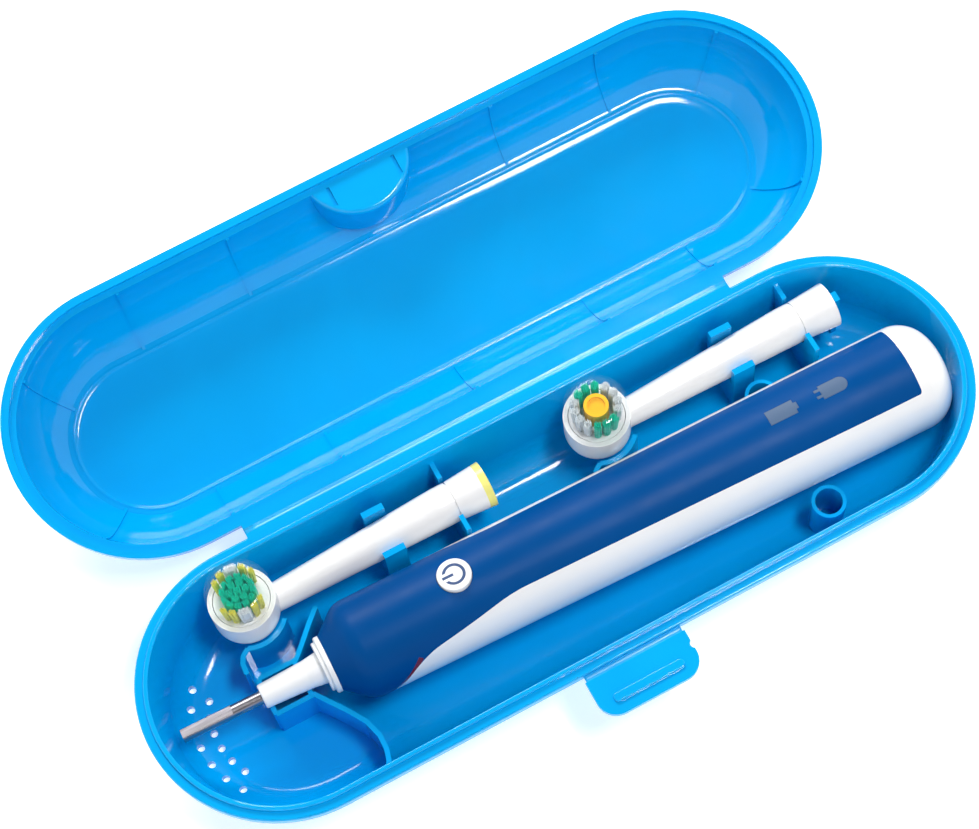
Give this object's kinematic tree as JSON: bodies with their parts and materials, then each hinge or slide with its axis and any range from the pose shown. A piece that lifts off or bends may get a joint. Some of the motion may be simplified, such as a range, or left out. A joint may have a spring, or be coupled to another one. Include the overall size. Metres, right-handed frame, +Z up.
{
  "type": "toothbrush travel case",
  "caption": "Hinged travel case with a rechargeable toothbrush handle and brush heads lying in moulded cradles, lid standing open.",
  "frame": {"origin": "centre of the flat bottom of the case's base", "axes": "+X along the case towards the bottom end of the handle, +Y towards the hinge and the open lid, +Z up"},
  "size_m": [0.218, 0.1537, 0.0381],
  "materials": {
    "case_blue": "glossy moulded polypropylene",
    "panel_blue": "dark glossy soft-grip panel",
    "white_plastic": "glossy white",
    "red_light": "translucent red light strip",
    "smoked_lens": "smoked clear plastic",
    "clear_cover": "clear plastic",
    "steel": "drawn steel",
    "rubber_seal": "black rubber",
    "cell_wrap": "sleeved cell",
    "contact_metal": "nickel-plated strip",
    "frame_plastic": "moulded engineering plastic",
    "board_green": "solder mask",
    "chip_black": "black components",
    "motor_steel": "plated can",
    "copper_wire": "enamelled copper winding",
    "bristle_green": "nylon bristles",
    "bristle_white": "nylon bristles",
    "bristle_yellow": "nylon bristles",
    "ring_yellow": "coloured marker ring",
    "polish_rubber": "soft polishing cup"
  },
  "bodies": {
    "base": {"base_shell": "case_blue", "lid_hinge_film": "case_blue", "latch_hinge_film": "case_blue"},
    "lid": {"lid_shell": "case_blue"},
    "latch": {"latch_tab": "case_blue"},
    "handle": {"handle_shell": "white_plastic", "grip_panel": "panel_blue", "pressure_light": "red_light", "battery_lens": "smoked_lens", "charge_lens": "smoked_lens", "neck_sleeve": "white_plastic", "shaft_seal": "rubber_seal", "bottom_cap": "white_plastic", "charging_socket": "white_plastic", "cap_o_ring": "rubber_seal", "battery_cell": "cell_wrap", "battery_contact_front": "contact_metal", "battery_contact_rear": "contact_metal", "chassis": "frame_plastic", "circuit_board": "board_green", "board_components": "chip_black", "tact_switch": "chip_black", "motor_can": "motor_steel", "coil_bobbin": "frame_plastic", "charging_coil": "copper_wire"},
    "button": {"power_button": "white_plastic", "power_symbol": "panel_blue"},
    "handle_drive": {"drive_shaft": "steel", "rocker_arm": "frame_plastic"},
    "motor_rotor": {"motor_pinion": "steel"},
    "crank": {"crank_gear": "frame_plastic"},
    "head_a": {"head_a_tube": "white_plastic", "head_a_collar": "white_plastic", "head_a_ring": "ring_yellow"},
    "head_a_drive": {"head_a_socket": "frame_plastic", "head_a_link": "steel"},
    "head_a_brush": {"head_a_disc": "white_plastic", "head_a_bristles_green": "bristle_green", "head_a_bristles_white": "bristle_white", "head_a_bristles_yellow": "bristle_yellow"},
    "head_a_cap": {"head_a_cover": "clear_cover"},
    "head_b": {"head_b_tube": "white_plastic", "head_b_collar": "white_plastic"},
    "head_b_drive": {"head_b_socket": "frame_plastic", "head_b_link": "steel"},
    "head_b_brush": {"head_b_disc": "white_plastic", "head_b_bristles_green": "bristle_green", "head_b_bristles_white": "bristle_white", "head_b_polish_cup": "polish_rubber"},
    "head_b_cap": {"head_b_cover": "clear_cover"}
  },
  "joints": [
    {"name": "lid_hinge", "type": "hinge", "parent": "base", "child": "lid", "pos_m": [0, 0.03615, 0.0241], "axis": [-1, 0, 0], "range_deg": [-168.5, 11.5], "deforming": ["lid_hinge_film"]},
    {"name": "latch_hinge", "type": "hinge", "parent": "base", "child": "latch", "pos_m": [0, -0.0356, 0.0228], "axis": [-1, 0, 0], "range_deg": [-45, 90], "deforming": ["latch_hinge_film"]},
    {"name": "handle_lift", "type": "slide", "parent": "base", "child": "handle", "axis": [0, 0, 1], "range_m": [0, 0.06]},
    {"name": "power_button_press", "type": "slide", "parent": "handle", "child": "button", "axis": [-0.0042, -0.1477, -0.989], "range_m": [0, 0.0005], "stiffness_N_per_m": 600},
    {"name": "drive_shaft_turn", "type": "hinge", "parent": "handle", "child": "handle_drive", "pos_m": [-0.05998, -0.00099, 0.0175], "axis": [0.9996, -0.0284, 0], "range_deg": [-28, 28]},
    {"name": "motor_spin", "type": "hinge", "parent": "handle", "child": "motor_rotor", "pos_m": [-0.03, -0.00223, 0.01493], "axis": [0.9996, -0.0284, 0], "continuous": true},
    {"name": "crank_spin", "type": "hinge", "parent": "handle", "child": "crank", "pos_m": [-0.03996, -0.00087, 0.0221], "axis": [0.9996, -0.0284, 0], "continuous": true},
    {"name": "head_a_lift", "type": "slide", "parent": "base", "child": "head_a", "axis": [0, 0, 1], "range_m": [0, 0.06]},
    {"name": "head_a_cover_lift", "type": "slide", "parent": "head_a", "child": "head_a_cap", "axis": [0, 0.0523, 0.9986], "range_m": [0, 0.025]},
    {"name": "head_a_drive_turn", "type": "hinge", "parent": "head_a", "child": "head_a_drive", "pos_m": [-0.0443, 0.0207, 0.018], "axis": [1, 0, 0], "range_deg": [-28, 28]},
    {"name": "head_a_brush_turn", "type": "hinge", "parent": "head_a", "child": "head_a_brush", "pos_m": [-0.0743, 0.02096, 0.02299], "axis": [0, 0.0523, 0.9986], "range_deg": [-28, 28]},
    {"name": "head_b_lift", "type": "slide", "parent": "base", "child": "head_b", "axis": [0, 0, 1], "range_m": [0, 0.06]},
    {"name": "head_b_cover_lift", "type": "slide", "parent": "head_b", "child": "head_b_cap", "axis": [0, 0, 1], "range_m": [0, 0.025]},
    {"name": "head_b_drive_turn", "type": "hinge", "parent": "head_b", "child": "head_b_drive", "pos_m": [0.0514, 0.0207, 0.018], "axis": [1, 0, 0], "range_deg": [-28, 28]},
    {"name": "head_b_brush_turn", "type": "hinge", "parent": "head_b", "child": "head_b_brush", "pos_m": [0.0214, 0.0207, 0.023], "axis": [0, 0, 1], "range_deg": [-28, 28]}
  ],
  "couplings": [
    {"joint": "crank_spin", "follows": "motor_spin", "ratio": -0.5},
    {"joint": "head_a_brush_turn", "follows": "head_a_drive_turn", "ratio": 1},
    {"joint": "head_b_brush_turn", "follows": "head_b_drive_turn", "ratio": 1}
  ]
}
